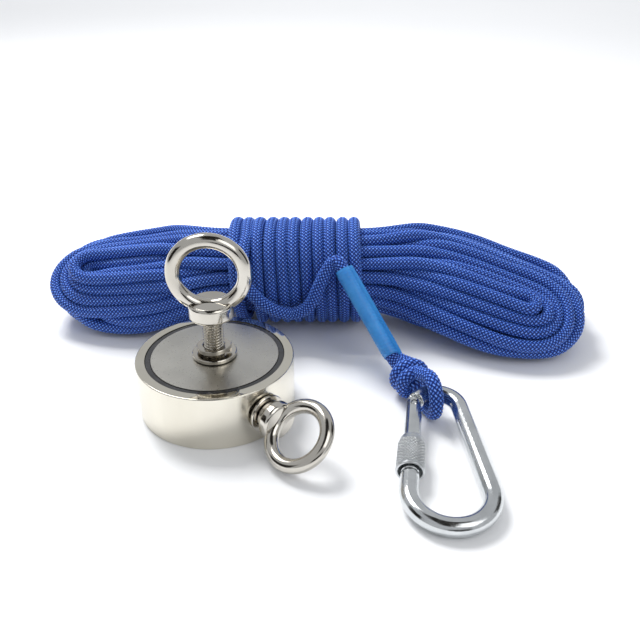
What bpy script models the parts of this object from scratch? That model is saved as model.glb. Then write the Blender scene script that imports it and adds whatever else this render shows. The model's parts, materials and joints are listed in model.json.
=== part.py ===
"""Magnet fishing kit: a double-sided pot magnet with two eye bolts, and a hank of braided rope
whose end is knotted to a screw-lock carabiner.

Lengths are in millimetres until they reach a mesh, where MM turns them into metres. The origin is
the centre of the magnet's lower face, +Z is up, and the hank lies along X behind the magnet (+Y).
"""
import math

import bmesh
import bpy
from mathutils import Matrix, Vector

MM = 0.001
GAP = 0.3

# Magnet
POT_RADIUS = 37.5
POT_HEIGHT = 27.3
POT_BEVEL = 0.5
RECESS_RADIUS = 33.0
RECESS_DEPTH = 8.2
BOSS_RADIUS = 8.0
MAGNET_RADIUS = 30.2
RESIN_SINK = 0.4

# Top eye bolt, M10
TOP_SHANK_RADIUS = 4.9
TOP_BORE_RADIUS = 5.2
TOP_BORE_FLOOR = 9.6
TOP_COLLAR_Z = 48.3
TOP_COLLAR = (10.75, 7.9)
TOP_RING = (16.2, 3.5, 21.4)

# Side eye bolt, M8
SIDE_ANGLE = math.radians(-47.5)
SIDE_ROLL = math.radians(38.8)
SIDE_SHANK_RADIUS = 3.9
SIDE_BORE_RADIUS = 4.2
SIDE_BORE_END = 22.0
SIDE_COLLAR_OUT = 42.9
SIDE_COLLAR = (9.0, 5.6)
SIDE_RING = (13.8, 3.3, 17.6)

# Washers
FLAT_WASHER = (5.3, 10.5, 2.0)
SPRING_WASHER = (5.3, 8.2, 2.2, 1.8)
SIDE_FLAT_WASHER = (4.3, 9.2, 1.4)
SIDE_SPRING_WASHER = (4.3, 6.8, 1.5, 0.4)

# Carabiner, lying on its wide bow with the narrow bow raised by the rope under it
ROD_RADIUS = 4.1
WIDE_RADIUS = 17.0
NARROW_RADIUS = 10.6
BOW_SPACING = 51.1
WIDE_CENTRE = Vector((103.2, -72.4, 5.95))
LONG_TILT = math.radians(5.9)
LONG_YAW = math.radians(-0.9)
PIN_OFFSET = 1.0
GATE_RADIUS = 3.8
GATE_LENGTH = 40.7
NOSE_GAP = 0.4
FRAME_BACK = 5.4
TONGUE = (3.0, 3.0, 6.0)
FORK_SLOT = (1.8, 4.8, 3.0)
PIN_RADIUS = 1.4
PLUNGER = (1.7, 3.4, 7.4)
SPRING_COIL = (1.3, 0.3, 9.2, 15.4, 6)
GATE_BORE = (2.0, 16.0)
LOCK_SLEEVE = (21.5, 40.3)

# Rope
ROPE_DIAMETER = 6.8
WRAP_CENTRE = (85.4, 30.9)
WRAP_INNER_RADIUS = 23.9
WRAP_SPAN = (0.3, 75.1)

STEEL = ((0.62, 0.59, 0.53), 1.0, 0.28)
POLISHED = ((0.70, 0.68, 0.64), 1.0, 0.12)
SATIN = ((0.55, 0.52, 0.46), 1.0, 0.38)
RESIN = ((0.015, 0.015, 0.018), 0.0, 0.35)
ZINC = ((0.66, 0.69, 0.72), 1.0, 0.18)
ROPE_BLUE = ((0.03, 0.09, 0.42), 0.0, 0.75)
SHRINK_BLUE = ((0.05, 0.30, 0.68), 0.0, 0.45)


def clear_scene():
    for obj in list(bpy.data.objects):
        bpy.data.objects.remove(obj)


def material(name, look):
    """A Principled material from (colour, metallic, roughness), made once for each name."""
    found = bpy.data.materials.get(name)
    if found:
        return found
    colour, metallic, roughness = look
    made = bpy.data.materials.new(name)
    made.use_nodes = True
    shader = made.node_tree.nodes["Principled BSDF"]
    shader.inputs["Base Color"].default_value = (*colour, 1.0)
    shader.inputs["Metallic"].default_value = metallic
    shader.inputs["Roughness"].default_value = roughness
    return made


def finish(name, bm, look_name, look, place=None, sharp_deg=35):
    """Turns a bmesh in millimetres into a shaded object in metres, placed by a matrix in metres."""
    bmesh.ops.recalc_face_normals(bm, faces=bm.faces[:])
    bmesh.ops.scale(bm, vec=(MM, MM, MM), verts=bm.verts[:])
    mesh = bpy.data.meshes.new(name)
    bm.to_mesh(mesh)
    bm.free()
    mesh.materials.append(material(look_name, look))
    mesh.shade_smooth()
    mesh.set_sharp_from_angle(angle=math.radians(sharp_deg))
    obj = bpy.data.objects.new(name, mesh)
    bpy.context.scene.collection.objects.link(obj)
    if place is not None:
        obj.matrix_world = place
    return obj


def turned(profile, steps=48):
    """Spins a closed (radius, height) outline about Z. Points at radius 0 become single points."""
    bm = bmesh.new()
    rings = []
    for radius, height in profile:
        if radius == 0:
            rings.append([bm.verts.new((0, 0, height))] * steps)
            continue
        ring = []
        for i in range(steps):
            a = 2 * math.pi * i / steps
            ring.append(bm.verts.new((radius * math.cos(a), radius * math.sin(a), height)))
        rings.append(ring)
    for lower, upper in zip(rings, rings[1:] + rings[:1]):
        for i in range(steps):
            j = (i + 1) % steps
            corners = list(dict.fromkeys((lower[i], lower[j], upper[j], upper[i])))
            if len(corners) > 2:
                bm.faces.new(corners)
    return bm


def cylinder(radius, low, high, steps=32):
    return turned([(0, low), (radius, low), (radius, high), (0, high)], steps)


def box(low, high):
    """A closed box between two corners."""
    bm = bmesh.new()
    bmesh.ops.create_cube(bm, size=1.0)
    size = Vector(high) - Vector(low)
    centre = (Vector(high) + Vector(low)) / 2
    bmesh.ops.scale(bm, vec=size, verts=bm.verts[:])
    bmesh.ops.translate(bm, vec=centre, verts=bm.verts[:])
    return bm


def swept(points, sides, section, closed=False, up=Vector((0, 0, 1))):
    """Sweeps a section along points. section(i, angle) gives (across, upward) offsets."""
    bm = bmesh.new()
    count = len(points)
    rings = []
    for i, point in enumerate(points):
        before = points[i - 1] if closed or i else point
        after = points[(i + 1) % count] if closed or i + 1 < count else point
        along = (after - before).normalized()
        across = along.cross(up).normalized()
        upward = across.cross(along)
        ring = []
        for k in range(sides):
            x, z = section(i, 2 * math.pi * k / sides)
            ring.append(bm.verts.new(point + across * x + upward * z))
        rings.append(ring)
    pairs = list(zip(rings, rings[1:]))
    if closed:
        pairs.append((rings[-1], rings[0]))
    for one, two in pairs:
        for k in range(sides):
            m = (k + 1) % sides
            bm.faces.new((one[k], one[m], two[m], two[k]))
    if not closed:
        bm.faces.new(rings[0])
        bm.faces.new(rings[-1])
    return bm


def round_section(radius):
    return lambda i, a: (radius * math.cos(a), radius * math.sin(a))


def oval_sections(sizes):
    """Half-widths and half-heights, one pair for each point of the path."""
    return lambda i, a: (sizes[i][0] * math.cos(a), sizes[i][1] * math.sin(a))


def smooth_path(route, count):
    """Points evenly spread along a Catmull-Rom curve through the route's own points."""
    knots = [Vector(p) for p in route]
    ends = [2 * knots[0] - knots[1]] + knots + [2 * knots[-1] - knots[-2]]
    fine = []
    per_span = 24
    for a, b, c, d in zip(ends, ends[1:], ends[2:], ends[3:]):
        for k in range(per_span):
            t = k / per_span
            fine.append(0.5 * (2 * b + (c - a) * t + (2 * a - 5 * b + 4 * c - d) * t ** 2
                               + (3 * b - a - 3 * c + d) * t ** 3))
    fine.append(knots[-1])
    length = [0.0]
    for one, two in zip(fine, fine[1:]):
        length.append(length[-1] + (two - one).length)
    points = []
    k = 0
    for i in range(count):
        target = length[-1] * i / (count - 1)
        while k + 2 < len(length) and length[k + 1] < target:
            k += 1
        share = (target - length[k]) / (length[k + 1] - length[k])
        points.append(fine[k].lerp(fine[k + 1], share))
    return points


def combine(obj, other, operation):
    """Cuts or joins another object into this one and hides the other as a guide."""
    other.hide_render = True
    other.display_type = "WIRE"
    modifier = obj.modifiers.new(operation.lower(), "BOOLEAN")
    modifier.operation = operation
    modifier.solver = "EXACT"
    modifier.object = other


def guide(name, bm, place=None):
    return finish(name, bm, "guide", RESIN, place)


def frame_matrix(origin, x_axis, z_axis):
    """A matrix in metres whose X and Z run along the given directions."""
    z = z_axis.normalized()
    y = z.cross(x_axis).normalized()
    x = y.cross(z)
    rotation = Matrix((x, y, z)).transposed().to_4x4()
    return Matrix.Translation(Vector(origin) * MM) @ rotation


def side_frame(distance, roll=0.0):
    """A frame on the side bolt's axis: Z points outwards, X lies in the ring's plane."""
    out = Vector((math.cos(SIDE_ANGLE), math.sin(SIDE_ANGLE), 0))
    level = Vector((-out.y, out.x, 0))
    x_axis = level * math.cos(roll) + Vector((0, 0, 1)) * math.sin(roll)
    origin = out * distance + Vector((0, 0, POT_HEIGHT / 2))
    return frame_matrix(origin, x_axis, out)


# ---- magnet ----

def steel_pot():
    low, high = RECESS_DEPTH, POT_HEIGHT - RECESS_DEPTH
    profile = [
        (0, low), (RECESS_RADIUS, low), (RECESS_RADIUS, 0), (POT_RADIUS - POT_BEVEL, 0),
        (POT_RADIUS, POT_BEVEL), (POT_RADIUS, POT_HEIGHT - POT_BEVEL),
        (POT_RADIUS - POT_BEVEL, POT_HEIGHT), (RECESS_RADIUS, POT_HEIGHT), (RECESS_RADIUS, high),
        (BOSS_RADIUS, high), (BOSS_RADIUS, POT_HEIGHT), (TOP_BORE_RADIUS, POT_HEIGHT),
        (TOP_BORE_RADIUS, TOP_BORE_FLOOR), (0, TOP_BORE_FLOOR),
    ]
    pot = finish("steel_pot", turned(profile, 72), "nickel_plate", STEEL)
    depth = POT_RADIUS + 5 - SIDE_BORE_END
    bore = cylinder(SIDE_BORE_RADIUS, 0, depth, 24)
    combine(pot, guide("side_bore_cutter", bore, side_frame(SIDE_BORE_END)), "DIFFERENCE")


def pole_pieces():
    """The two magnets and the resin rings that seal them into the pot."""
    recess = RECESS_DEPTH - GAP
    inner = MAGNET_RADIUS + GAP
    outer = RECESS_RADIUS - GAP
    hole = BOSS_RADIUS + GAP
    top = POT_HEIGHT - 0.1
    base = POT_HEIGHT - recess
    ring = [(hole, base), (MAGNET_RADIUS, base), (MAGNET_RADIUS, top), (hole, top)]
    finish("upper_magnet", turned(ring, 64), "magnet_nickel", SATIN)
    finish("lower_magnet", cylinder(MAGNET_RADIUS, 0, recess, 64), "magnet_nickel", SATIN)
    seal = [(inner, base), (outer, base), (outer, POT_HEIGHT - RESIN_SINK),
            (inner, POT_HEIGHT - RESIN_SINK)]
    finish("upper_resin_ring", turned(seal, 64), "black_resin", RESIN)
    seal = [(inner, RESIN_SINK), (outer, RESIN_SINK), (outer, recess), (inner, recess)]
    finish("lower_resin_ring", turned(seal, 64), "black_resin", RESIN)


def eye_bolt(name, place, shank, collar, ring):
    """An eye bolt whose collar rests on local Z = 0, with its shank below and its ring above."""
    shank_radius, shank_length = shank
    collar_radius, collar_height = collar
    ring_radius, wire_radius, ring_height = ring
    edge = 0.8
    profile = [
        (0, -shank_length), (shank_radius - edge, -shank_length),
        (shank_radius, -shank_length + edge), (shank_radius, 0), (collar_radius - edge, 0),
        (collar_radius, edge), (collar_radius, collar_height - edge),
        (collar_radius - edge, collar_height), (0, collar_height),
    ]
    bolt = finish(name, turned(profile, 36), "nickel_plate", STEEL, place)
    stations = 48
    points = []
    for i in range(stations):
        a = 2 * math.pi * (i + 0.5) / stations
        across, upward = ring_radius * math.cos(a), ring_radius * math.sin(a)
        points.append(Vector((across, 0, ring_height + upward)))
    loop = swept(points, 14, round_section(wire_radius), closed=True, up=Vector((0, 1, 0)))
    combine(bolt, guide(name + "_loop_guide", loop, place), "UNION")


def bolts():
    top = Matrix.Translation((0, 0, TOP_COLLAR_Z * MM))
    reach = TOP_COLLAR_Z - TOP_BORE_FLOOR - 2 * GAP
    eye_bolt("top_eye_bolt", top, (TOP_SHANK_RADIUS, reach), TOP_COLLAR, TOP_RING)
    side = side_frame(SIDE_COLLAR_OUT, SIDE_ROLL)
    reach = SIDE_COLLAR_OUT - SIDE_BORE_END - 2 * GAP
    eye_bolt("side_eye_bolt", side, (SIDE_SHANK_RADIUS, reach), SIDE_COLLAR, SIDE_RING)


def flat_washer(name, size, place):
    inner, outer, height = size
    edge = 0.3
    profile = [(inner, 0), (outer - edge, 0), (outer, edge), (outer, height - edge),
               (outer - edge, height), (inner, height)]
    finish(name, turned(profile, 48), "nickel_plate", STEEL, place)


def spring_washer(name, size, place, start_deg):
    """A split ring of square section whose ends stand apart by its rise."""
    inner, outer, height, rise = size
    middle, half = (inner + outer) / 2, (outer - inner) / 2
    stations, open_deg = 34, 14
    corners = [(-1, -1), (1, -1), (1, 1), (-1, 1)]
    points = []
    for i in range(stations):
        share = i / (stations - 1)
        a = math.radians(start_deg + (360 - open_deg) * share)
        climb = height / 2 + rise * share
        points.append(Vector((middle * math.cos(a), middle * math.sin(a), climb)))

    def section(i, angle):
        x, z = corners[round(angle / (math.pi / 2)) % 4]
        return half * x, height / 2 * z

    finish(name, swept(points, 4, section), "nickel_plate", STEEL, place)


def washers():
    low = POT_HEIGHT + GAP
    flat_washer("top_flat_washer", FLAT_WASHER, Matrix.Translation((0, 0, low * MM)))
    low += FLAT_WASHER[2] + GAP
    place = Matrix.Translation((0, 0, low * MM))
    spring_washer("top_spring_washer", SPRING_WASHER, place, 20)
    out = POT_RADIUS + 0.6
    flat_washer("side_flat_washer", SIDE_FLAT_WASHER, side_frame(out))
    out += SIDE_FLAT_WASHER[2] + GAP
    spring_washer("side_spring_washer", SIDE_SPRING_WASHER, side_frame(out), 200)


# ---- carabiner ----

def carabiner_matrix():
    """X runs across from the gate to the back limb, Y from the wide bow to the narrow one."""
    turn = Matrix.Rotation(LONG_YAW, 4, "Z") @ Matrix.Rotation(LONG_TILT, 4, "X")
    return Matrix.Translation(WIDE_CENTRE * MM) @ turn


LIMB_LEAN = math.asin((WIDE_RADIUS - NARROW_RADIUS) / BOW_SPACING)
LIMB_TOP = Vector((-NARROW_RADIUS * math.cos(LIMB_LEAN),
                   BOW_SPACING + NARROW_RADIUS * math.sin(LIMB_LEAN), 0))
LIMB_WAY = Vector((-math.sin(LIMB_LEAN), -math.cos(LIMB_LEAN), 0))


def limb_matrix(distance=0.0):
    """On the gate's limb: the origin is the hinge pin moved along the limb, Z runs to the nose."""
    origin = LIMB_TOP + LIMB_WAY * (PIN_OFFSET + distance)
    return carabiner_matrix() @ frame_matrix(origin, Vector((0, 0, 1)), LIMB_WAY)


def arc(centre_y, radius, start, end, count):
    points = []
    for i in range(count):
        a = start + (end - start) * i / (count - 1)
        points.append(Vector((radius * math.cos(a), centre_y + radius * math.sin(a), 0)))
    return points


def frame_path():
    """The rod's centreline from behind the hinge, over the narrow bow and round to the nose."""
    behind = (FRAME_BACK - PIN_OFFSET) / NARROW_RADIUS
    narrow = arc(BOW_SPACING, NARROW_RADIUS, math.pi - LIMB_LEAN - behind, LIMB_LEAN, 18)
    wide = arc(0, WIDE_RADIUS, LIMB_LEAN, -math.pi - LIMB_LEAN, 30)
    straight = [narrow[-1].lerp(wide[0], k / 5) for k in range(1, 5)]
    nose_at = PIN_OFFSET + GATE_LENGTH + NOSE_GAP
    nose = LIMB_TOP + LIMB_WAY * nose_at
    return narrow + straight + wide + [wide[-1].lerp(nose, 0.5), nose]


def carabiner_frame():
    place = carabiner_matrix()
    rod = swept(frame_path(), 14, round_section(ROD_RADIUS))
    body = finish("carabiner_body", rod, "bright_zinc", ZINC, place)
    thick, end, width = TONGUE
    tongue = box((-thick / 2, -width / 2, -FRAME_BACK - 1.2), (thick / 2, width / 2, end))
    combine(body, guide("tongue_guide", tongue, limb_matrix()), "UNION")
    hole = cylinder(PIN_RADIUS + GAP, -8, 8, 20)
    combine(body, guide("pin_hole_cutter", hole, pin_matrix()), "DIFFERENCE")


def pin_matrix():
    origin = LIMB_TOP + LIMB_WAY * PIN_OFFSET
    return carabiner_matrix() @ Matrix.Translation(origin * MM)


def gate():
    """The gate with its fork, pin hole and spring bore, hinged at its own origin."""
    place = limb_matrix()
    half_slot, slot_end, fork_back = FORK_SLOT
    edge = 0.4
    profile = [(0, -fork_back), (GATE_RADIUS - edge, -fork_back), (GATE_RADIUS, -fork_back + edge),
               (GATE_RADIUS, GATE_LENGTH - edge), (GATE_RADIUS - edge, GATE_LENGTH),
               (0, GATE_LENGTH)]
    body = finish("carabiner_gate", turned(profile, 24), "bright_zinc", ZINC, place)
    slot = box((-half_slot, -8, -8), (half_slot, 8, slot_end))
    combine(body, guide("fork_slot_cutter", slot, place), "DIFFERENCE")
    hole = cylinder(PIN_RADIUS + GAP, -8, 8, 20)
    combine(body, guide("gate_hole_cutter", hole, pin_matrix()), "DIFFERENCE")
    bore_radius, bore_end = GATE_BORE
    bore = cylinder(bore_radius, 2, bore_end, 16)
    combine(body, guide("spring_bore_cutter", bore, place), "DIFFERENCE")


def gate_pieces():
    place = limb_matrix()
    pin = turned([(0, -3.9), (0.9, -3.9), (PIN_RADIUS, -3.5), (PIN_RADIUS, 3.5), (0.9, 3.9),
                  (0, 3.9)], 20)
    finish("gate_rivet", pin, "bright_zinc", ZINC, pin_matrix())
    radius, start, end = PLUNGER
    slim = 0.8
    plunger = turned([(0, start), (slim, start), (radius, start + 0.4), (radius, end - 0.3),
                      (radius - 0.3, end), (0, end)], 16)
    finish("gate_plunger", plunger, "spring_steel", STEEL, place)
    coil, wire, low, high, turns = SPRING_COIL
    stations = turns * 12
    points = []
    for i in range(stations + 1):
        a = 2 * math.pi * i / 12
        climb = low + (high - low) * i / stations
        points.append(Vector((coil * math.cos(a), coil * math.sin(a), climb)))
    spring = swept(points, 6, round_section(wire), up=Vector((0, 0, 1)))
    finish("gate_spring", spring, "spring_steel", STEEL, place)


def lock_sleeve():
    """The knurled screw sleeve on the gate: a narrow shoulder, a grip and an open mouth."""
    low, high = LOCK_SLEEVE
    bore = GATE_RADIUS + GAP
    profile = [
        (bore, low), (5.0, low), (5.3, low + 0.4), (5.3, low + 2.2), (6.0, low + 3.2),
        (6.2, high - 1.6), (6.2, high - 0.5), (5.9, high), (5.2, high), (5.2, high - 5.0),
        (bore, high - 6.0),
    ]
    finish("screw_sleeve", turned(profile, 36), "bright_zinc", ZINC, limb_matrix())


# ---- rope ----

HANK_SECTIONS = (
    (-111, 106, 15, 8, 7),
    (-107, 106, 16.5, 14, 12),
    (-101, 104, 18.5, 24, 17.5),
    (-88, 102, 20, 33, 19.3),
    (-72, 102, 22, 38, 21.3),
    (-56, 101, 23.5, 38, 22),
    (-36, 98, 26, 37, 23.3),
    (-18, 91, 28.5, 32, 24.5),
    (-8, 87.5, 30, 28, 24.8),
    (-2.2, 85.4, 30.9, 24.7, 24.2),
    (-0.2, 85.4, 30.9, 23.6, 23.6),
    (75.6, 85.4, 30.9, 23.6, 23.6),
    (77.6, 85.4, 30.9, 24.7, 24.2),
    (90, 87, 30.5, 29, 26),
    (110, 90, 28, 38, 25),
    (128, 88, 26, 45, 24),
    (144, 85, 23.5, 48.5, 22),
    (166, 80, 19, 49, 17.8),
    (185, 77, 14.5, 40, 13.7),
    (193, 77.5, 12, 31, 11.3),
    (200, 78, 8.8, 17, 8),
    (203, 78, 7.5, 9, 5.5),
)
KNOT_SECTIONS = (
    # x, y, z, half-width, half-height
    (84.9, 27.0, 12.2, 6.0, 4.0),
    (85.6, 26.1, 11.0, 6.4, 4.2),
    (87.1, 23.9, 9.7, 7.0, 4.9),
    (89.2, 20.9, 9.5, 7.8, 6.2),
    (91.2, 17.6, 10.1, 9.2, 8.0),
    (93.0, 14.4, 10.6, 10.4, 9.7),
    (94.4, 11.2, 10.9, 10.6, 10.2),
    (95.6, 8.0, 11.0, 10.0, 9.7),
    (96.4, 5.2, 11.0, 8.4, 8.6),
    (97.0, 2.6, 11.0, 5.0, 7.4),
)
LEAD_ROUTE = (
    (6.0, 50.6, 42.5), (9.5, 50.4, 38.2), (14.0, 50.0, 33.2), (20.0, 50.2, 27.4),
    (27.0, 51.2, 22.6), (34.8, 52.4, 20.3), (41.5, 51.4, 23.4), (46.0, 50.2, 29.3),
    (49.6, 50.5, 36.6), (53.0, 51.4, 43.0), (56.6, 52.6, 47.8), (59.8, 53.5, 50.0),
    (62.4, 53.6, 50.5), (63.9, 52.5, 49.2),
)
SLEEVE_ENDS = ((65.5, 50.7, 46.6), (84.7, 27.3, 12.6))
EYE_ROUTE = (
    (97.8, 0.1, 15.6), (99.2, -3.4, 18.2), (101.4, -8.0, 20.4), (103.2, -13.6, 20.4),
    (104.5, -18.3, 16.8), (104.9, -20.3, 11.4), (104.2, -18.3, 6.6), (102.4, -12.6, 4.2),
    (100.2, -6.6, 4.4), (98.2, 0.1, 6.6),
)


def rope_hank():
    points = [Vector(row[:3]) for row in HANK_SECTIONS]
    spine = [Vector((p.x, 0, 0)) for p in points]
    sizes = [row[3:] for row in HANK_SECTIONS]

    def section(i, a):
        return (-points[i].y + sizes[i][0] * math.cos(a), points[i].z + sizes[i][1] * math.sin(a))

    finish("rope_hank", swept(spine, 24, section), "blue_rope", ROPE_BLUE)


def rope_wrapping():
    """The turns round the middle of the hank, as one turned band."""
    low, high = WRAP_SPAN
    inner = WRAP_INNER_RADIUS
    outer = inner + ROPE_DIAMETER
    edge = 1.5
    profile = [(inner, low), (outer - edge, low), (outer, low + edge), (outer, high - edge),
               (outer - edge, high), (inner, high)]
    centre_y, centre_z = WRAP_CENTRE
    place = frame_matrix((0, centre_y, centre_z), Vector((0, 0, 1)), Vector((1, 0, 0)))
    finish("rope_wrapping", turned(profile, 40), "blue_rope", ROPE_BLUE, place)


def rope_tube(name, route, count):
    """A round tube on a smooth curve through the route's points."""
    curve = bpy.data.curves.new(name, "CURVE")
    curve.dimensions = "3D"
    curve.bevel_depth = ROPE_DIAMETER / 2 * MM
    curve.bevel_resolution = 3
    curve.use_fill_caps = True
    spline = curve.splines.new("POLY")
    points = smooth_path(route, count)
    spline.points.add(len(points) - 1)
    for slot, point in zip(spline.points, points):
        slot.co = (*(point * MM), 1.0)
    curve.materials.append(material("blue_rope", ROPE_BLUE))
    obj = bpy.data.objects.new(name, curve)
    bpy.context.scene.collection.objects.link(obj)


def shrink_sleeve():
    """The heat-shrunk tube over the standing rope and its tail, an oval bar with round edges."""
    top, bottom = (Vector(p) for p in SLEEVE_ENDS)
    shares = (0.0, 0.015, 0.05, 0.5, 0.95, 0.985, 1.0)
    sizes = ((6.2, 3.9), (7.0, 4.5), (7.6, 4.9), (7.8, 4.9), (7.6, 4.9), (7.2, 4.6), (6.8, 4.2))
    points = [top.lerp(bottom, s) for s in shares]
    bar = swept(points, 20, oval_sections(sizes), up=Vector((0.72, 0.35, 0.6)))
    finish("heat_shrink_sleeve", bar, "heat_shrink", SHRINK_BLUE)


def rope_knot():
    points = [Vector(row[:3]) for row in KNOT_SECTIONS]
    sizes = [row[3:] for row in KNOT_SECTIONS]
    finish("rope_knot", swept(points, 18, oval_sections(sizes)), "blue_rope", ROPE_BLUE)


def rope():
    rope_hank()
    rope_wrapping()
    rope_tube("rope_lead", LEAD_ROUTE, 12)
    shrink_sleeve()
    rope_knot()
    rope_tube("rope_eye", EYE_ROUTE, 14)


def main():
    clear_scene()
    steel_pot()
    pole_pieces()
    bolts()
    washers()
    carabiner_frame()
    gate()
    gate_pieces()
    lock_sleeve()
    rope()


main()
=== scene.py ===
"""Looks of the magnet fishing kit: the pot magnet with its two eye bolts, and the hank of braided
rope with its carabiner. Lengths are millimetres until they reach a mesh, where MM makes metres."""
import json
import math

import bmesh
import bpy
import numpy as np
from mathutils import Matrix, Vector


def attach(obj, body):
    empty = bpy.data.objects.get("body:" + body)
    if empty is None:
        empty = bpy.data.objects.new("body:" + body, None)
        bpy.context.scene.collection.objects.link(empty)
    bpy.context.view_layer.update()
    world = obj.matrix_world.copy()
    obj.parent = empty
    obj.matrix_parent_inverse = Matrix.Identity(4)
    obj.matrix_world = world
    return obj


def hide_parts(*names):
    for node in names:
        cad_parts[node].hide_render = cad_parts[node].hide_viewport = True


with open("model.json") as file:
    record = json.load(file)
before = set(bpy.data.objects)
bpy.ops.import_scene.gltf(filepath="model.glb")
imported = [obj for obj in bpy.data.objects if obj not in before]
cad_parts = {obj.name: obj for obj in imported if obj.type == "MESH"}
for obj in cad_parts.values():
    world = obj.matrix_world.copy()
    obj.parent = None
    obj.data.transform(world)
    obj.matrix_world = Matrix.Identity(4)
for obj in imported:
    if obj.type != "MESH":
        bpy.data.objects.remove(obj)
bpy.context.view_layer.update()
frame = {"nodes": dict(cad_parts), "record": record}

MM = 0.001
TURN = 2 * math.pi

# The magnet: the side bolt leaves the pot at half its height, in this direction seen from above
POT_HEIGHT = 27.3
SIDE_ANGLE = math.radians(-47.5)

# The rope, and its wrapped waist: the centre's y and z, and where it starts and ends in x
ROPE_DIAMETER = 6.8
ROPE_RADIUS = ROPE_DIAMETER / 2
WAIST_CENTRE = np.array([85.4, 30.9])
WAIST_SPAN = (0.3, 75.1)
BAND_RADIUS = 27.2
BAND_TURNS = 11

# From the turns round the waist down to the hank's front and up to the sleeve, then the sleeve,
# the knot and the eye, all of them on or near their CAD solids
LEAD_ROUTE = [
    (9.0, 52.2, 44.0), (11.0, 50.6, 38.5), (14.6, 50.0, 33.2), (20.0, 50.2, 27.4),
    (27.0, 51.2, 22.6), (34.8, 52.4, 20.3), (41.5, 51.4, 23.4), (46.0, 50.2, 29.3),
    (49.0, 50.5, 36.8), (51.8, 51.3, 43.0), (54.8, 52.4, 48.2), (57.6, 52.6, 51.0),
    (60.0, 50.6, 51.2),
]
SLEEVE_ENDS = (np.array([62.5, 50.7, 47.7]), np.array([88.0, 19.8, 12.4]))
EYE_ROUTE = [
    (98.6, -4.6, 18.8), (101.0, -9.2, 20.9), (102.6, -14.2, 20.6), (103.6, -18.2, 16.8),
    (103.9, -19.8, 11.4), (103.6, -18.2, 6.4), (102.4, -12.6, 3.7), (100.6, -6.8, 3.9),
    (98.4, -1.2, 6.6),
]
KNOT_BACK, KNOT_FRONT = np.array([91.4, 12.6, 10.6]), np.array([98.2, -4.6, 11.2])
KNOT_START_DEG, KNOT_TURNS = 165, 1.80
STRAND_OFFSET = 3.2


# ---- camera ----

def camera():
    place, down_deg = (0.05, -0.3028, 0.2171), 29.47
    data = bpy.data.cameras.new("camera")
    data.lens, data.sensor_width = 42.19, 36
    data.clip_start = 0.01
    obj = bpy.data.objects.new("camera", data)
    obj.location = place
    obj.rotation_euler = (math.radians(90 - down_deg), 0, 0)
    bpy.context.scene.collection.objects.link(obj)
    bpy.context.scene.camera = obj


camera()


# ---- paths ----

def smooth_path(route, step):
    """Points about a step apart along a Catmull-Rom curve through the route's points."""
    knots = np.asarray(route, float)
    knots = np.vstack([2 * knots[0] - knots[1], knots, 2 * knots[-1] - knots[-2]])
    t = np.linspace(0, 1, 17)[:-1, None]
    fine = []
    for a, b, c, d in zip(knots, knots[1:], knots[2:], knots[3:]):
        fine.append(0.5 * (2 * b + (c - a) * t + (2 * a - 5 * b + 4 * c - d) * t ** 2
                           + (3 * b - a - 3 * c + d) * t ** 3))
    fine.append(knots[-2][None])
    return resampled(np.vstack(fine), step)


def arc_length(points):
    """How far along the line each point is."""
    return np.concatenate([[0], np.cumsum(np.linalg.norm(np.diff(points, axis=0), axis=1))])


def resampled(points, step):
    """The same line with its points evenly spaced, about a step apart."""
    along = arc_length(points)
    count = max(2, int(round(along[-1] / step)) + 1)
    at = np.linspace(0, along[-1], count)
    return np.stack([np.interp(at, along, points[:, k]) for k in range(3)], axis=1)


# ---- the hank ----

# x, then the centre's y and z and the half-sizes of the hank's section, as its CAD solid has them
HANK_SECTIONS = np.array([
    (-111, 106, 15, 8, 7), (-107, 106, 16.5, 14, 12), (-101, 104, 18.5, 24, 17.5),
    (-88, 102, 20, 33, 19.3), (-72, 102, 22, 38, 21.3), (-56, 101, 23.5, 38, 22),
    (-36, 98, 26, 37, 23.3), (-18, 91, 28.5, 32, 24.5), (-8, 87.5, 30, 28, 24.8),
    (-0.2, 85.4, 30.9, 23.6, 23.6), (75.6, 85.4, 30.9, 23.6, 23.6), (90, 87, 30.5, 29, 26),
    (110, 90, 28, 38, 25), (128, 88, 26, 45, 24), (144, 85, 23.5, 48.5, 22),
    (166, 80, 19, 49, 17.8), (185, 77, 14.5, 40, 13.7), (193, 77.5, 12, 31, 11.3),
    (200, 78, 8.8, 17, 8), (203, 78, 7.5, 9, 5.5),
])
RUNS = 32
# A run and the run that it turns back into have numbers that add up to these, modulo RUNS
RIGHT_PAIRS, LEFT_PAIRS = 27, 25
FIRST_RUN = 31
HANK_STEP = 4.0
# Where in x a run is held inside the waist, from right to left
WAIST_STOPS = (60.0, 38.0, 16.0)


def waist_slots():
    """Where the runs pass through the wrapped waist, in order of their angle round it."""
    layers = ((20.2, 18, 0.3), (13.2, 10, 0.1), (6.2, 4, 0.5))
    slots = []
    for radius, count, turn in layers:
        slots += [(radius, TURN * (i + turn) / count) for i in range(count)]
    slots.sort(key=lambda slot: slot[1])
    return [WAIST_CENTRE + r * np.array([math.cos(a), math.sin(a)]) for r, a in slots]


SLOTS = waist_slots()


def section_at(x):
    """The hank's section at x: its centre's y and z, then its half-width and half-height."""
    return [np.interp(x, HANK_SECTIONS[:, 0], HANK_SECTIONS[:, k]) for k in range(1, 5)]


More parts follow.
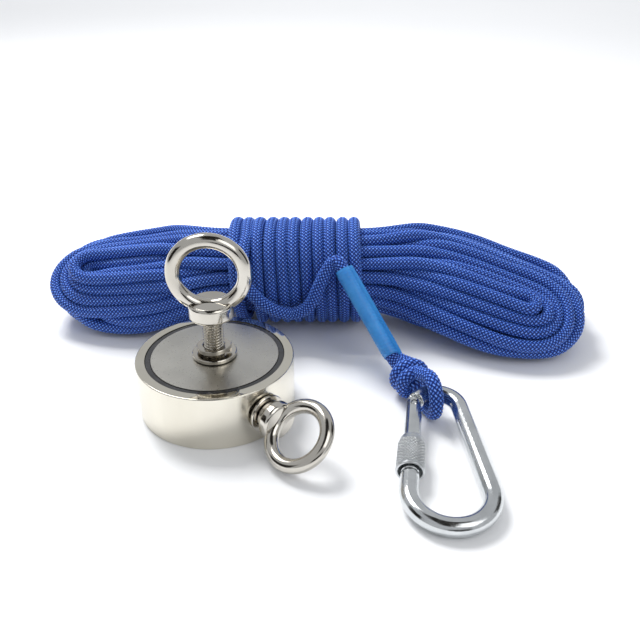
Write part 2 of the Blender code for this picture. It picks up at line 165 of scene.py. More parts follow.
def on_skin(x, run, lift=0.0):
    """The centre of a strand on the hank's skin, by its share of the way round the section."""
    y, z, wide, high = section_at(x)
    inset = ROPE_RADIUS + 0.4 - lift
    beyond = min(1.0, max(0.0, x - WAIST_SPAN[1], WAIST_SPAN[0] - x) / 50)
    sunk = 0.58 * beyond * high
    wide = wide * (1 + 0.14 * beyond)
    y = y - (4.0 * beyond if x < 0 else 0.0)
    angle = np.linspace(0, TURN, 73)
    cos, sin = np.cos(angle), np.sin(angle)
    # the underside is squarer than the top, because it lies on the floor
    square = np.where(sin < 0, 0.72, 1.0)
    ys = y + (wide - inset) * np.sign(cos) * np.abs(cos) ** square
    zs = z - sunk + (np.where(sin < 0, high - sunk, high + sunk) - inset) * (
        np.sign(sin) * np.abs(sin) ** square)
    along = np.concatenate([[0], np.cumsum(np.hypot(np.diff(ys), np.diff(zs)))])
    at = along[-1] * ((run + 0.2) / RUNS % 1.0)
    return np.array([np.interp(at, along, ys), np.interp(at, along, zs)])


def fan(run, edge, side, until, lift):
    """A run's way out from the waist's edge to the hank's skin, which it reaches in 40 mm."""
    first, step, reach = 4, 9.0, 40
    slot = SLOTS[run]
    for x in np.arange(first, abs(until - edge), step):
        share = min(1.0, x / reach)
        share = share * share * (3 - 2 * share)
        at = edge + side * x
        yield (at, *(slot * (1 - share) + on_skin(at, run, lift) * share))


def fold(run, after, side, tip, lift):
    """Out along one run, round the fold at its tip, and back along another."""
    edge = WAIST_SPAN[1] if side > 0 else WAIST_SPAN[0]
    # how far a fold may reach, its least half-width, and the gap that the runs leave before it
    shortest, longest, tightest, gap = 9.0, 26.0, 8.0, 6
    start = tip - side * 15
    for _ in range(3):
        a, b = on_skin(start, run, lift), on_skin(start, after, lift)
        half = np.linalg.norm(a - b) / 2
        start = tip - side * max(shortest, min(longest, half * 1.05))
    middle, arm = (a + b) / 2, (a - b) / 2
    if half < tightest:
        arm = arm * tightest / half
    route = list(fan(run, edge, side, start - side * gap, lift))
    for turn in range(15, 180, 25):
        t = math.radians(turn)
        y, z = middle + arm * math.cos(t)
        route.append((start + (tip - start) * math.sin(t), y, max(ROPE_RADIUS, z)))
    return route + list(fan(after, edge, side, start - side * gap, lift))[::-1]


def tip_of(run, side, rng):
    """How far out a fold reaches: on the right, the tighter it turns, the shorter it is."""
    if side > 0:
        across = abs((run - RIGHT_PAIRS / 2 + RUNS / 2) % RUNS - RUNS / 2)
        return 167 + 28 * min(1.0, across / 5) + rng.uniform(-3, 1)
    return -99 - 9 * rng.uniform(-1.6, 1)


def hank_route():
    """All the runs, from the one that the turns round the waist go over into."""
    rng = np.random.default_rng(11)
    route = []
    run = FIRST_RUN
    for _ in range(RUNS // 2):
        back = (RIGHT_PAIRS - run) % RUNS
        lift = rng.uniform(-2.2, 1.0)
        route += fold(run, back, 1, tip_of(back, 1, rng), lift)
        route += [(x, *SLOTS[back]) for x in WAIST_STOPS]
        run = (LEFT_PAIRS - back) % RUNS
        lift = rng.uniform(-3.0, 3.0)
        route += fold(back, run, -1, tip_of(run, -1, rng), lift)
        route += [(x, *SLOTS[run]) for x in WAIST_STOPS[::-1]]
    return route[:-1]


def neighbours(points, reach, skip):
    """Pairs of points closer than reach and more than skip apart along the rope."""
    flat = points.astype(np.float32)
    square = (flat ** 2).sum(1)
    close = square[:, None] + square[None] - 2 * flat @ flat.T < reach ** 2
    one, two = np.nonzero(np.triu(close, skip + 1))
    return one, two


def pushed_apart(points, one, two, distance):
    """Moves points that are too close apart, each by half of what is missing."""
    gap = points[one] - points[two]
    long = np.linalg.norm(gap, axis=1)
    near = long < distance
    one, two, gap, long = one[near], two[near], gap[near], np.maximum(long[near], 1e-6)
    push = gap * (0.5 * (distance - long) / long)[:, None]
    moved = points.copy()
    size = len(points)
    met = np.bincount(one, minlength=size) + np.bincount(two, minlength=size)
    touches = np.maximum(1, 0.5 * met)
    for k in range(3):
        total = np.bincount(one, push[:, k], size) - np.bincount(two, push[:, k], size)
        moved[:, k] += total / touches
    return moved


def evened(points, strength, reach):
    """Takes the short waves out of a line and leaves its long ones."""
    kernel = np.exp(-0.5 * (np.arange(-3 * reach, 3 * reach + 1) / reach) ** 2)
    kernel /= kernel.sum()
    padded = np.pad(points, ((3 * reach, 3 * reach), (0, 0)), mode="edge")
    soft = np.stack([np.convolve(padded[:, k], kernel, "valid") for k in range(3)], axis=1)
    return points + strength * (soft - points)


def kept_length(points, step):
    """Brings neighbouring points back towards the distances that they started at."""
    for first in (0, 1):
        a, b = points[first:-1:2].copy(), points[first + 1::2].copy()
        gap = b - a
        long = np.maximum(np.linalg.norm(gap, axis=1, keepdims=True), 1e-6)
        fix = 0.4 * gap * (1 - step[first::2][:len(a)][:, None] / long)
        points[first:-1:2] = a + fix
        points[first + 1::2] = b - fix
    return points


def settled(points, obstacles, rounds):
    """Lets the hank's loops push each other apart, keeping their lengths and gentle bends."""
    left_end, right_end, pull_home = -108, 197, 0.09
    step = np.linalg.norm(np.diff(points, axis=0), axis=1)
    home = points.copy()
    inside = (points[:, 0] > WAIST_SPAN[0]) & (points[:, 0] < WAIST_SPAN[1])
    free = np.where(inside, 0.15, 1.0)[:, None]
    size = len(points)
    for n in range(rounds):
        everything = np.vstack([points, obstacles])
        if n % 5 == 0:
            one, two = neighbours(everything, ROPE_DIAMETER * 1.4, 5)
            wanted = one < size
            one, two = one[wanted], two[wanted]
        start = points
        moved = pushed_apart(everything, one, two, ROPE_DIAMETER)[:size]
        moved = evened(moved, 0.15, 2)
        moved = kept_length(moved, step)
        moved += pull_home * (home - moved)
        moved[:, 2] = np.maximum(moved[:, 2], ROPE_RADIUS)
        moved[:, 0] = np.clip(moved[:, 0], left_end, right_end)
        points = start + (moved - start) * free
    return evened(points, 1.0, 1)


def hank_line(obstacles):
    """The hank's centreline, settled against the turns round its waist."""
    rounds = 260
    return settled(smooth_path(hank_route(), HANK_STEP), obstacles, rounds)


def band_line():
    """The turns round the waist, from right to left; the last but one lies furthest left."""
    turns = BAND_TURNS - 1
    start, end = math.radians(15), math.radians(120) + TURN * turns
    angle = np.linspace(start, end, 60 * BAND_TURNS)
    turn = (angle - start) / TURN
    right = WAIST_SPAN[1] - ROPE_RADIUS + 0.7
    pitch = (right - WAIST_SPAN[0] - ROPE_RADIUS - 2.7) / (turns - 0.1)
    last = turns - 1
    # at these turns, how many pitches the rope lies from the right
    at_turns = (0, last - 0.40, last + 0.10, last + 0.65, last + 1.12, turns + 1)
    pitches = (0, last - 0.55, last + 0.95, last + 1.25, last + 0.05, last + 0.05)
    place = np.interp(turn, at_turns, pitches)
    # a hump where the last turn crosses back over the one before it
    hump, crossing, width = 6.4, 0.92, 0.10
    out = BAND_RADIUS + hump * np.exp(-((turn - last - crossing) / width) ** 2)
    waver, slant = 0.35 * np.sin(turn * 2.1), 2.6 * np.sin(angle)
    x = right - pitch * place + waver - slant
    y = WAIST_CENTRE[0] + out * np.cos(angle)
    z = WAIST_CENTRE[1] + out * np.sin(angle)
    return evened(np.stack([x, y, z], axis=1), 1.0, 2)


def sleeve_axes():
    """Along the shrunk tube, then across its two strands, then square to both."""
    top, bottom = SLEEVE_ENDS
    way = (bottom - top) / np.linalg.norm(bottom - top)
    side = np.array([0.30, 0.62, -0.40])
    side = side - way * (side @ way)
    side /= np.linalg.norm(side)
    return way, side, np.cross(way, side)


def knot_axes():
    """Along the knot from its back, then level across it, then square to both."""
    along = (KNOT_FRONT - KNOT_BACK) / np.linalg.norm(KNOT_FRONT - KNOT_BACK)
    right = np.cross(along, (0, 0, 1.0))
    right /= np.linalg.norm(right)
    return along, right, np.cross(right, along)


def knot_coil():
    """The knot's turns round the standing rope, a little tighter at their two ends."""
    along, right, up = knot_axes()
    start, length, radius = 2.4, 11.8, 6.7
    for t in np.linspace(0, 1, 19):
        a = math.radians(KNOT_START_DEG + KNOT_TURNS * 360 * t)
        r = radius - 0.5 * abs(2 * t - 1) ** 3
        round_it = r * (math.cos(a) * right + math.sin(a) * up)
        yield KNOT_BACK + along * (start + length * t) + round_it


def knot_line():
    """From the tail's end in the sleeve, wound round the standing rope, and through the eye."""
    top, bottom = SLEEVE_ENDS
    way, side, _ = sleeve_axes()
    along, _, up = knot_axes()
    tail, stand = STRAND_OFFSET * side, -STRAND_OFFSET * side
    inside = [top + way * 20 + tail, top + way * 38 + tail, bottom + tail - way * 1.5]
    eye = [np.array(p) for p in EYE_ROUTE]
    stood = [KNOT_BACK + along * 13.5 - up * 1.2, KNOT_BACK + along * 8,
             KNOT_BACK + along * 2.5 + up * 0.3,
             bottom + stand * 0.9, top + way * 30 + stand, top + way * 8 + stand * 0.9]
    return inside + list(knot_coil()) + eye + stood


def rope_line():
    """The rope's whole centreline, from the tail in the sleeve to the end hidden in the hank."""
    band = band_line()
    hank = hank_line(resampled(band, HANK_STEP))
    lead = [np.array(p) for p in reversed(LEAD_ROUTE)]
    # the lead leaves the last turn here, at the front of the waist's top
    leave_x, leave_radius, leave_angle = 9.0, 29.4, math.radians(135)
    leave = np.array([leave_x, WAIST_CENTRE[0] + leave_radius * math.cos(leave_angle),
                      WAIST_CENTRE[1] + leave_radius * math.sin(leave_angle)])
    # the last turn's first points are thinned out, so that the curve eases into it
    eased_in, every, fine = 24, 6, 1.0
    turns = band[::-1]
    first = smooth_path(knot_line() + lead + [leave] + list(turns[:eased_in:every]), fine)
    join = smooth_path([band[3], band[0], hank[3], hank[4]], fine)
    return np.vstack([first, turns[eased_in:-3], join, hank[4:]])


# ---- meshes ----

def mesh_object(name, vertices, faces):
    """A smooth-shaded object from vertices in millimetres."""
    mesh = bpy.data.meshes.new(name)
    mesh.from_pydata([tuple(v) for v in np.asarray(vertices, float) * MM], [], faces)
    mesh.update()
    mesh.polygons.foreach_set("use_smooth", [True] * len(mesh.polygons))
    obj = bpy.data.objects.new(name, mesh)
    bpy.context.scene.collection.objects.link(obj)
    return obj


def carried_frames(points):
    """Two directions square to the line at each point, turned as little as the line allows."""
    tangent = np.gradient(points, axis=0)
    tangent /= np.linalg.norm(tangent, axis=1, keepdims=True)
    side = np.zeros_like(points)
    start = np.cross(tangent[0], (0, 0, 1.0))
    side[0] = start / np.linalg.norm(start)
    for k in range(1, len(points)):
        carried = side[k - 1] - tangent[k] * (side[k - 1] @ tangent[k])
        side[k] = carried / np.linalg.norm(carried)
    return side, np.cross(tangent, side)


def grid_faces(rings, sides):
    """Quads between neighbouring rings of a closed tube, in order along it."""
    row = np.arange(rings - 1)[:, None] * sides
    col = np.arange(sides)[None]
    after = (col + 1) % sides
    quads = np.stack([row + col, row + after, row + sides + after, row + sides + col], axis=-1)
    return quads.reshape(-1, 4).tolist()


def closed_faces(rings, sides):
    """The same for a tube whose last ring joins its first."""
    last = (rings - 1) * sides
    faces = grid_faces(rings, sides)
    for k in range(sides):
        m = (k + 1) % sides
        faces.append([last + k, last + m, m, k])
    return faces


# The rope's mesh: sides round it, distance between rings, and how far its braid's lumps stand
ROPE_SIDES, ROPE_RING, ROPE_LUMP = 18, 1.0, 0.36


def braided_tube(name, line):
    """A rope along the line, with the lumps of its braid raised, and its ends closed."""
    line = resampled(line, ROPE_RING)
    side, up = carried_frames(line)
    rings = len(line)
    angle = TURN * np.arange(ROPE_SIDES) / ROPE_SIDES
    lump = (np.arange(rings)[:, None] + np.arange(ROPE_SIDES)[None]) % 2
    radius = ROPE_RADIUS - 0.28 + ROPE_LUMP * lump
    end = np.minimum(np.arange(rings), np.arange(rings)[::-1])
    radius = radius * np.sqrt(np.clip((end + 0.6) / 3.0, 0, 1))[:, None]
    cos, sin = np.cos(angle), np.sin(angle)
    around = cos[:, None] * side[:, None] + sin[:, None] * up[:, None]
    points = (line[:, None] + radius[..., None] * around).reshape(-1, 3)
    quads = np.array(grid_faces(rings, ROPE_SIDES))
    # each quad is cut along the diagonal that joins its two low corners
    high = lump.reshape(-1)[quads[:, 0]] == 1
    first = np.where(high[:, None], quads[:, [0, 1, 3]], quads[:, [0, 1, 2]])
    second = np.where(high[:, None], quads[:, [1, 2, 3]], quads[:, [0, 2, 3]])
    faces = first.tolist() + second.tolist()
    faces.append(list(range(ROPE_SIDES))[::-1])
    faces.append([(rings - 1) * ROPE_SIDES + k for k in range(ROPE_SIDES)])
    obj = mesh_object(name, points, faces)
    spot = obj.data.attributes.new("braid", "FLOAT_VECTOR", "POINT")
    where = np.zeros((rings, ROPE_SIDES, 3), np.float32)
    where[..., 0] = (np.arange(rings) * ROPE_RING)[:, None]
    where[..., 1] = cos
    where[..., 2] = sin
    spot.data.foreach_set("vector", where.reshape(-1))
    return obj, line


# ---- solid shapes ----

def turned(profile, steps):
    """Vertices and faces of a profile of (radius, height) turned round Z, without end faces."""
    rings = len(profile)
    angle = TURN * np.arange(steps) / steps
    points = [(r * math.cos(a), r * math.sin(a), z) for r, z in profile for a in angle]
    faces = grid_faces(rings, steps)
    return points, faces


def capped(points, faces, rings, sides):
    """The same tube with a face on its first and on its last ring."""
    first, last = list(range(sides)), [(rings - 1) * sides + k for k in range(sides)]
    return points, faces + [first[::-1], last]


def rounded(profile, radius, steps=4):
    """The profile with an arc in place of each inner corner."""
    result = [profile[0]]
    for before, corner, after in zip(profile, profile[1:], profile[2:]):
        c = np.array(corner, float)
        one, two = np.array(before, float) - c, np.array(after, float) - c
        cut = min(radius, 0.45 * np.linalg.norm(one), 0.45 * np.linalg.norm(two))
        start, end = c + one / np.linalg.norm(one) * cut, c + two / np.linalg.norm(two) * cut
        for t in np.linspace(0, 1, steps + 1):
            result.append(tuple((1 - t) ** 2 * start + 2 * t * (1 - t) * c + t ** 2 * end))
    result.append(profile[-1])
    return result


def placed(name, shape, place):
    """An object from a shape's points and faces, moved by a matrix in metres."""
    points, faces = shape
    obj = mesh_object(name, points, faces)
    obj.data.transform(place)
    return obj


def frame_matrix(origin, x_axis, z_axis):
    """A matrix whose X and Z run along the given directions, from an origin in millimetres."""
    z = Vector(z_axis).normalized()
    y = z.cross(Vector(x_axis)).normalized()
    rotation = Matrix((y.cross(z), y, z)).transposed().to_4x4()
    return Matrix.Translation(Vector(origin) * MM) @ rotation


def upright(height):
    """On the magnet's axis, at a height in millimetres."""
    return Matrix.Translation((0, 0, height * MM))


def side_place(distance, roll=0.0):
    """On the side bolt's axis: Z points outwards and X lies in the ring's plane."""
    out = Vector((math.cos(SIDE_ANGLE), math.sin(SIDE_ANGLE), 0))
    level = Vector((-out.y, out.x, 0))
    across = level * math.cos(roll) + Vector((0, 0, 1)) * math.sin(roll)
    return frame_matrix(out * distance + Vector((0, 0, POT_HEIGHT / 2)), across, out)


def threaded_shank(radius, pitch, length):
    """A screw thread along -Z from the origin, plain for its last turn under the collar."""
    steps, per_turn = 40, 9
    rings = int(length / pitch * per_turn) + 1
    depth = 0.64 * pitch
    z = -np.linspace(0, length, rings)
    angle = TURN * np.arange(steps) / steps
    phase = (z[:, None] / pitch - angle[None] / TURN) % 1.0
    groove = np.clip(1.35 * np.abs(2 * phase - 1) - 0.12, 0, 1)
    lead_in = np.clip((length + z[:, None] - 0.2) / 1.5, 0, 1)
    runout = np.clip(-z[:, None] / 1.6, 0, 1)
    r = radius - depth * (1 - groove) * runout
    r = np.minimum(r, radius - depth + depth * lead_in)
    points = np.stack([r * np.cos(angle), r * np.sin(angle), z[:, None] + 0 * r], -1)
    points, faces = capped(points.reshape(-1, 3), grid_faces(rings, steps), rings, steps)
    return points, [face[::-1] for face in faces]


def ring_tube(ring_radius, wire_radius, height):
    """A ring of round wire that stands in the XZ plane, its centre at a height on Z."""
    stations, sides = 96, 32
    points = []
    for i in range(stations):
        a = TURN * i / stations
        for k in range(sides):
            b = TURN * k / sides
            r = ring_radius + wire_radius * math.cos(b)
            points.append((r * math.cos(a), -wire_radius * math.sin(b), height + r * math.sin(a)))
    faces = []
    for i in range(stations):
        for k in range(sides):
            j, m = (i + 1) % stations, (k + 1) % sides
            faces.append([i * sides + k, j * sides + k, j * sides + m, i * sides + m][::-1])
    return points, faces


def applied(obj, kind, **settings):
    """Adds a modifier, applies it and leaves the plain mesh."""
    modifier = obj.modifiers.new(kind.lower(), kind)
    for key, value in settings.items():
        setattr(modifier, key, value)
    bpy.context.view_layer.update()
    graph = bpy.context.evaluated_depsgraph_get()
    mesh = bpy.data.meshes.new_from_object(obj.evaluated_get(graph))
    obj.modifiers.clear()
    obj.data = mesh
    return obj


def sharp_by_angle(obj, degrees):
    """Smooth shading that keeps the edges sharper than an angle."""
    obj.data.polygons.foreach_set("use_smooth", [True] * len(obj.data.polygons))
    work = bmesh.new()
    work.from_mesh(obj.data)
    for edge in work.edges:
        if len(edge.link_faces) == 2:
            edge.smooth = edge.calc_face_angle() < math.radians(degrees)
    work.to_mesh(obj.data)
    work.free()
    return obj


def eye_bolt(name, place, shank, collar, ring, body):
    """A shank (radius, pitch, length), a collar (radius, height) and a ring (radius, wire's
    radius, height of its centre) grown out of it."""
    radius, pitch, length = shank
    wide, high = collar
    ring_radius, wire, height = ring
    low_edge, high_edge, steps = 0.9, 1.1, 72
    profile = rounded([(0.01, 0), (wide - low_edge, 0), (wide, low_edge), (wide, high - high_edge),
                       (wide - high_edge, high), (0.01, high)], 0.6)
    head = mesh_object(name, *capped(*turned(profile, steps), len(profile), steps))
    loop = mesh_object(name + "_loop", *ring_tube(ring_radius, wire, height))
    applied(head, "BOOLEAN", operation="UNION", object=loop, solver="EXACT")
    bpy.data.objects.remove(loop)
    screw = mesh_object(name + "_screw", *threaded_shank(radius, pitch, length))
    work = bmesh.new()
    work.from_mesh(head.data)
    work.from_mesh(screw.data)
    work.to_mesh(head.data)
    work.free()
    bpy.data.objects.remove(screw)
    head.data.transform(place)
    sharp_by_angle(head, 38)
    return dressed(head, body, "nickel_plate", name)


def dressed(obj, body, slot, *nodes):
    """A finished piece rides on its body, stands for its CAD nodes and takes its slot's finish."""
    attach(obj, body)
    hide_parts(*nodes)
    obj.name += "_piece"
    obj.data.materials.clear()
    obj.data.materials.append(FINISHES[slot])
    return obj


def spring_washer(name, size, place, start_deg, body):
    """A split ring of inner and outer radius, height and rise from end to end, corners eased."""
    inner, outer, height, rise = size
    stations, open_deg, ease = 90, 14, 0.22
    middle, wide, high = (inner + outer) / 2, (outer - inner) / 2, height / 2
    section = [(-wide, ease - high), (ease - wide, -high), (wide - ease, -high),
               (wide, ease - high), (wide, high - ease), (wide - ease, high),
               (ease - wide, high), (-wide, high - ease)]
    sides = len(section)
    points = []
    for i in range(stations):
        share = i / (stations - 1)
        a = math.radians(start_deg + (360 - open_deg) * share)
        for across, up in section:
            r = middle + across
            points.append((r * math.cos(a), r * math.sin(a), high + rise * share + up))
    points, faces = capped(points, grid_faces(stations, sides), stations, sides)
    obj = placed(name, (points, [face[::-1] for face in faces]), place)
    sharp_by_angle(obj, 30)
    return dressed(obj, body, "spring_steel", name)


# The screw sleeve's reach along the gate, the grip between its shoulder and its mouth, and its bore
SLEEVE_LOW, SLEEVE_HIGH = 21.5, 40.3
GRIP_LOW, GRIP_HIGH = SLEEVE_LOW + 3.4, SLEEVE_HIGH - 1.2
SLEEVE_BORE = 4.1


def sleeve_profile():
    """Radius and height round the screw sleeve, and whether the knurling cuts there."""
    low, high = SLEEVE_LOW, SLEEVE_HIGH
    shoulder = [(SLEEVE_BORE, low), (4.9, low), (5.15, low + 0.1), (5.3, low + 0.4),
                (5.3, low + 2.0), (5.35, low + 2.2), (5.9, low + 3.1)]
    grip = [(6.02 + 0.2 * (z - GRIP_LOW) / (GRIP_HIGH - GRIP_LOW), z)
            for z in np.arange(GRIP_LOW, GRIP_HIGH, 0.16)]
    mouth = [(6.2, high - 1.1), (6.2, high - 0.5), (6.1, high - 0.2), (5.9, high), (5.3, high),
             (5.2, high - 0.15), (5.2, high - 5.0), (SLEEVE_BORE, high - 6.0)]
    rows = [(shoulder, 0), (grip, 1), (mouth, 0)]
    return [(r, z, cut) for part, cut in rows for r, z in part]


def knurled_sleeve():
    """The screw sleeve: a plain shoulder, a diamond-knurled grip and an open, turned mouth."""
    steps, teeth, lead, depth, flat = 132, 22, 1.25 * 1.35, 0.70, 0.75
    angle = TURN * np.arange(steps) / steps
    profile = sleeve_profile()
    points = []
    for r, z, cut in profile:
        one = np.abs(((angle / TURN * teeth + z / lead) % 1) - 0.5) * 2
        two = np.abs(((angle / TURN * teeth - z / lead) % 1) - 0.5) * 2
        height = np.minimum(np.minimum(one, two) * 1.7, flat)
        radius = r - cut * depth * (flat - height)
        points += [(q * math.cos(a), q * math.sin(a), z) for q, a in zip(radius, angle)]
    # the gate's pivot, its axis, and the direction along the gate at rest
    place = frame_matrix((93.3632, -21.0762, 11.2372), (-0.0016, -0.1028, 0.9947),
                         (-0.1407, -0.9848, -0.1020))
    obj = placed("screw_sleeve", (points, closed_faces(len(profile), steps)), place)
    sharp_by_angle(obj, 50)
    dressed(obj, "lock_sleeve", "bright_zinc", "screw_sleeve")
    obj.data.materials[0] = KNURL_FINISH


TUBE_SIDES, TUBE_RINGS, TUBE_WALL = 64, 120, 0.55


def shrunk_radius(share, wall):
    """The tube's radius round two strands, waisted between them and drawn in at its ends."""
    angle = TURN * np.arange(TUBE_SIDES) / TUBE_SIDES
    cos, sin = np.cos(angle), np.sin(angle)
    strand = 4.05 - wall
    reach = 3.7 + 0.10 * math.sin(share * 9)
    flat = np.sqrt(np.maximum(strand ** 2 - (reach * sin) ** 2, 0.04))
    r = reach * np.abs(cos) + flat
    hull = strand / np.maximum(np.abs(sin), 1e-3)
    waist = 1 - 0.10 * np.exp(-(cos / 0.35) ** 2)
    ease = 1 - 0.05 * math.exp(-share * 30) - 0.07 * math.exp(-(1 - share) * 14)
    return np.minimum(np.maximum(r, strand), hull) * waist * ease


def shrunk_ring(share, wall):
    """A ring of the tube's points, its share of the way down; the outside is faintly wavy."""
    top, bottom = SLEEVE_ENDS
    way, side, face = sleeve_axes()
    long = np.linalg.norm(bottom - top)
    angle = TURN * np.arange(TUBE_SIDES) / TUBE_SIDES
    cos, sin = np.cos(angle), np.sin(angle)
    wave = 0.06 * np.sin(share * long * TURN / 2.0 + 3 * angle) * (1 if wall == 0 else 0)
    r = shrunk_radius(share, wall) + wave
    slant = 2.2 * cos * math.exp(-(1 - share) * 12) - 0.8 * cos * math.exp(-share * 12)
    centre = top + way * (long * share)
    return (centre + (r * cos)[:, None] * side + (r * sin)[:, None] * face
            + slant[:, None] * way)


def shrunk_tube():
    """The heat-shrunk tube, drawn tight over the standing rope and its tail."""
    shares = np.linspace(0, 1, TUBE_RINGS)
    outside = [shrunk_ring(share, 0) for share in shares]
    inside = [shrunk_ring(share, TUBE_WALL) for share in shares[::-1]]
    faces = closed_faces(2 * TUBE_RINGS, TUBE_SIDES)
    obj = mesh_object("heat_shrink_sleeve", np.vstack(outside + inside), faces)
    sharp_by_angle(obj, 50)
    return dressed(obj, "rope", "heat_shrink", "heat_shrink_sleeve")


def copied(node):
    """A separate copy of a CAD node, which itself stays as it is."""
    obj = bpy.data.objects.new(node, frame["nodes"][node].data.copy())
    bpy.context.scene.collection.objects.link(obj)
    return obj


def softened(node, body, slot, voxel, rounds):
    """A finer copy of a CAD node, whose facets are smoothed away and whose edges are eased."""
    obj = copied(node)
    applied(obj, "REMESH", mode="VOXEL", voxel_size=voxel * MM)
    applied(obj, "SMOOTH", factor=0.5, iterations=rounds)
    sharp_by_angle(obj, 45)
    return dressed(obj, body, slot, node)


def eased(node, body, slot, width):
    """A copy of a CAD node with its edges rounded off."""
    obj = copied(node)
    applied(obj, "BEVEL", width=width * MM, segments=3, limit_method="ANGLE",
            angle_limit=math.radians(35))
    sharp_by_angle(obj, 40)
    return dressed(obj, body, slot, node)


# ---- finishes ----

class Graph:
    """A material's nodes, added one by one."""

    def __init__(self, name):
        self.material = bpy.data.materials.new(name)
        self.material.use_nodes = True
        self.tree = self.material.node_tree
        self.shader = self.tree.nodes["Principled BSDF"]
        self.place = self.add("ShaderNodeTexCoord").outputs["Object"]

    def add(self, kind, **settings):
        """A new node, with its settings."""
        node = self.tree.nodes.new(kind)
        for key, value in settings.items():
            setattr(node, key, value)
        return node

    def link(self, source, target):
        self.tree.links.new(source, target)

    def fixed(self, **values):
        """Constant values, set on the shader's own sockets."""
        for key, value in values.items():
            self.shader.inputs[key.replace("_", " ")].default_value = value

    def noise(self, scale, detail=3.0, stretch=None, where=None):
        """Noise in the object's own space, or drawn out by a stretch."""
        node = self.add("ShaderNodeTexNoise")
        node.inputs["Scale"].default_value = scale
        node.inputs["Detail"].default_value = detail
        where = where or self.place
        if stretch:
            mapping = self.add("ShaderNodeMapping")
            mapping.inputs["Scale"].default_value = stretch
            self.link(where, mapping.inputs["Vector"])
            where = mapping.outputs["Vector"]
        self.link(where, node.inputs["Vector"])
        return node.outputs["Fac"]

    def ramp(self, source, *stops):
        """A colour ramp through stops of (position, colour)."""
        node = self.add("ShaderNodeValToRGB")
        elements = node.color_ramp.elements
        while len(elements) < len(stops):
            elements.new(0.5)
        for element, (position, color) in zip(elements, stops):
            element.position = position
            element.color = (*color, 1)
        self.link(source, node.inputs["Fac"])
        return node.outputs["Color"]

    def spread(self, source, low, high, start=0.3, end=0.7):
        """Maps start..end of the source to low..high."""
        node = self.add("ShaderNodeMapRange")
        ends = {"From Min": start, "From Max": end, "To Min": low, "To Max": high}
        for key, value in ends.items():
            node.inputs[key].default_value = value
        self.link(source, node.inputs["Value"])
        return node.outputs["Result"]

    def math(self, operation, one, two=None):
        """A math node on sockets or plain numbers."""
        node = self.add("ShaderNodeMath", operation=operation)
        for slot, value in zip(node.inputs, (one, two)):
            if value is None:
                continue
            if isinstance(value, (int, float)):
                slot.default_value = value
            else:
                self.link(value, slot)
        return node.outputs["Value"]

    def bump(self, height, strength, distance):
        node = self.add("ShaderNodeBump")
        node.inputs["Strength"].default_value = strength
        node.inputs["Distance"].default_value = distance
        self.link(height, node.inputs["Height"])
        self.link(node.outputs["Normal"], self.shader.inputs["Normal"])

    def color(self, source):
        self.link(source, self.shader.inputs["Base Color"])

    def rough(self, source):
        self.link(source, self.shader.inputs["Roughness"])


def metal(name, dark, light, rough, bump=0.12):
    """Plated steel with faint clouding and fine marks."""
    g = Graph(name)
    g.fixed(Metallic=1.0)
    g.color(g.ramp(g.noise(38, 4), (0.3, dark), (0.7, light)))
    marks = g.noise(900, 3)
    g.rough(g.spread(marks, rough[0], rough[1]))
    g.bump(marks, bump, 0.00004)
    return g.material


def resin():
    """Cast black resin: nearly black, glossy and a little uneven."""
    g = Graph("black_resin")
    g.fixed(Coat_Weight=0.5, Coat_Roughness=0.08)
    g.color(g.ramp(g.noise(160, 4), (0.35, (0.006, 0.006, 0.007)), (0.7, (0.02, 0.02, 0.022))))
    g.rough(g.spread(g.noise(220, 3), 0.12, 0.35))
    g.bump(g.noise(140, 3), 0.25, 0.0002)
    return g.material


def zinc(name, rough):
    """Bright zinc plate: bluish, with the soft mottling of the bath."""
    g = Graph(name)
    g.fixed(Metallic=1.0)
    g.color(g.ramp(g.noise(60, 5), (0.3, (0.56, 0.58, 0.59)), (0.7, (0.76, 0.78, 0.79))))
    g.rough(g.spread(g.noise(260, 4), rough[0], rough[1]))
    g.bump(g.noise(420, 4), 0.08, 0.00008)
    return g.material


def stitches(g, spot):
    """Two families of strands cross: how high each stitch stands, and which family is on top."""
    split = g.add("ShaderNodeSeparateXYZ")
    g.link(spot, split.inputs[0])
    around = g.math("ARCTAN2", split.outputs["Z"], split.outputs["Y"])
    around = g.math("MULTIPLY", around, ROPE_SIDES / 4)
    along = g.math("MULTIPLY", split.outputs["X"], math.pi / 2 / ROPE_RING)
    one = g.math("SINE", g.math("ADD", around, along))
    two = g.math("SINE", g.math("SUBTRACT", around, along))
    both = g.math("MULTIPLY", one, two)
    over = g.math("GREATER_THAN", both, 0.0)
    one, two = g.math("ABSOLUTE", one), g.math("ABSOLUTE", two)
    rising = g.math("MULTIPLY", g.math("POWER", one, 1.15), g.math("POWER", two, 0.25))
    falling = g.math("MULTIPLY", g.math("POWER", one, 0.25), g.math("POWER", two, 1.15))
    change = g.math("MULTIPLY", over, g.math("SUBTRACT", rising, falling))
    return g.math("ADD", falling, change), over


def braid():
    """Blue braid: slanted pillows of fine fibres, with painted shade between and painted highlights
    on top.
    """
    g = Graph("blue_rope")
    g.fixed(Sheen_Weight=0.05, Sheen_Roughness=0.4, Specular_IOR_Level=0.30)
    spot = g.add("ShaderNodeAttribute", attribute_name="braid").outputs["Vector"]
    pillow, over = stitches(g, spot)
    fibre = g.noise(1.4, 3, stretch=(1.0, 9, 9), where=spot)
    patchy = g.noise(30, 3)
    height = g.math("MULTIPLY", pillow, g.math("ADD", g.math("MULTIPLY", over, 0.10), 0.72))
    height = g.math("ADD", height, g.math("MULTIPLY", fibre, 0.26))
    height = g.math("ADD", height, g.math("MULTIPLY", patchy, 0.10))
    # painted shade and highlight: near-black where the braid lies low between stitches, pale blue
    # on the stitch tops
    g.color(g.ramp(height, (0.20, (0.001, 0.005, 0.045)), (0.50, (0.005, 0.028, 0.21)),
                   (0.78, (0.026, 0.110, 0.54)), (0.97, (0.22, 0.42, 0.98))))
    g.rough(g.spread(fibre, 0.62, 0.42))
    g.bump(height, 0.6, 0.0004)
    return g.material


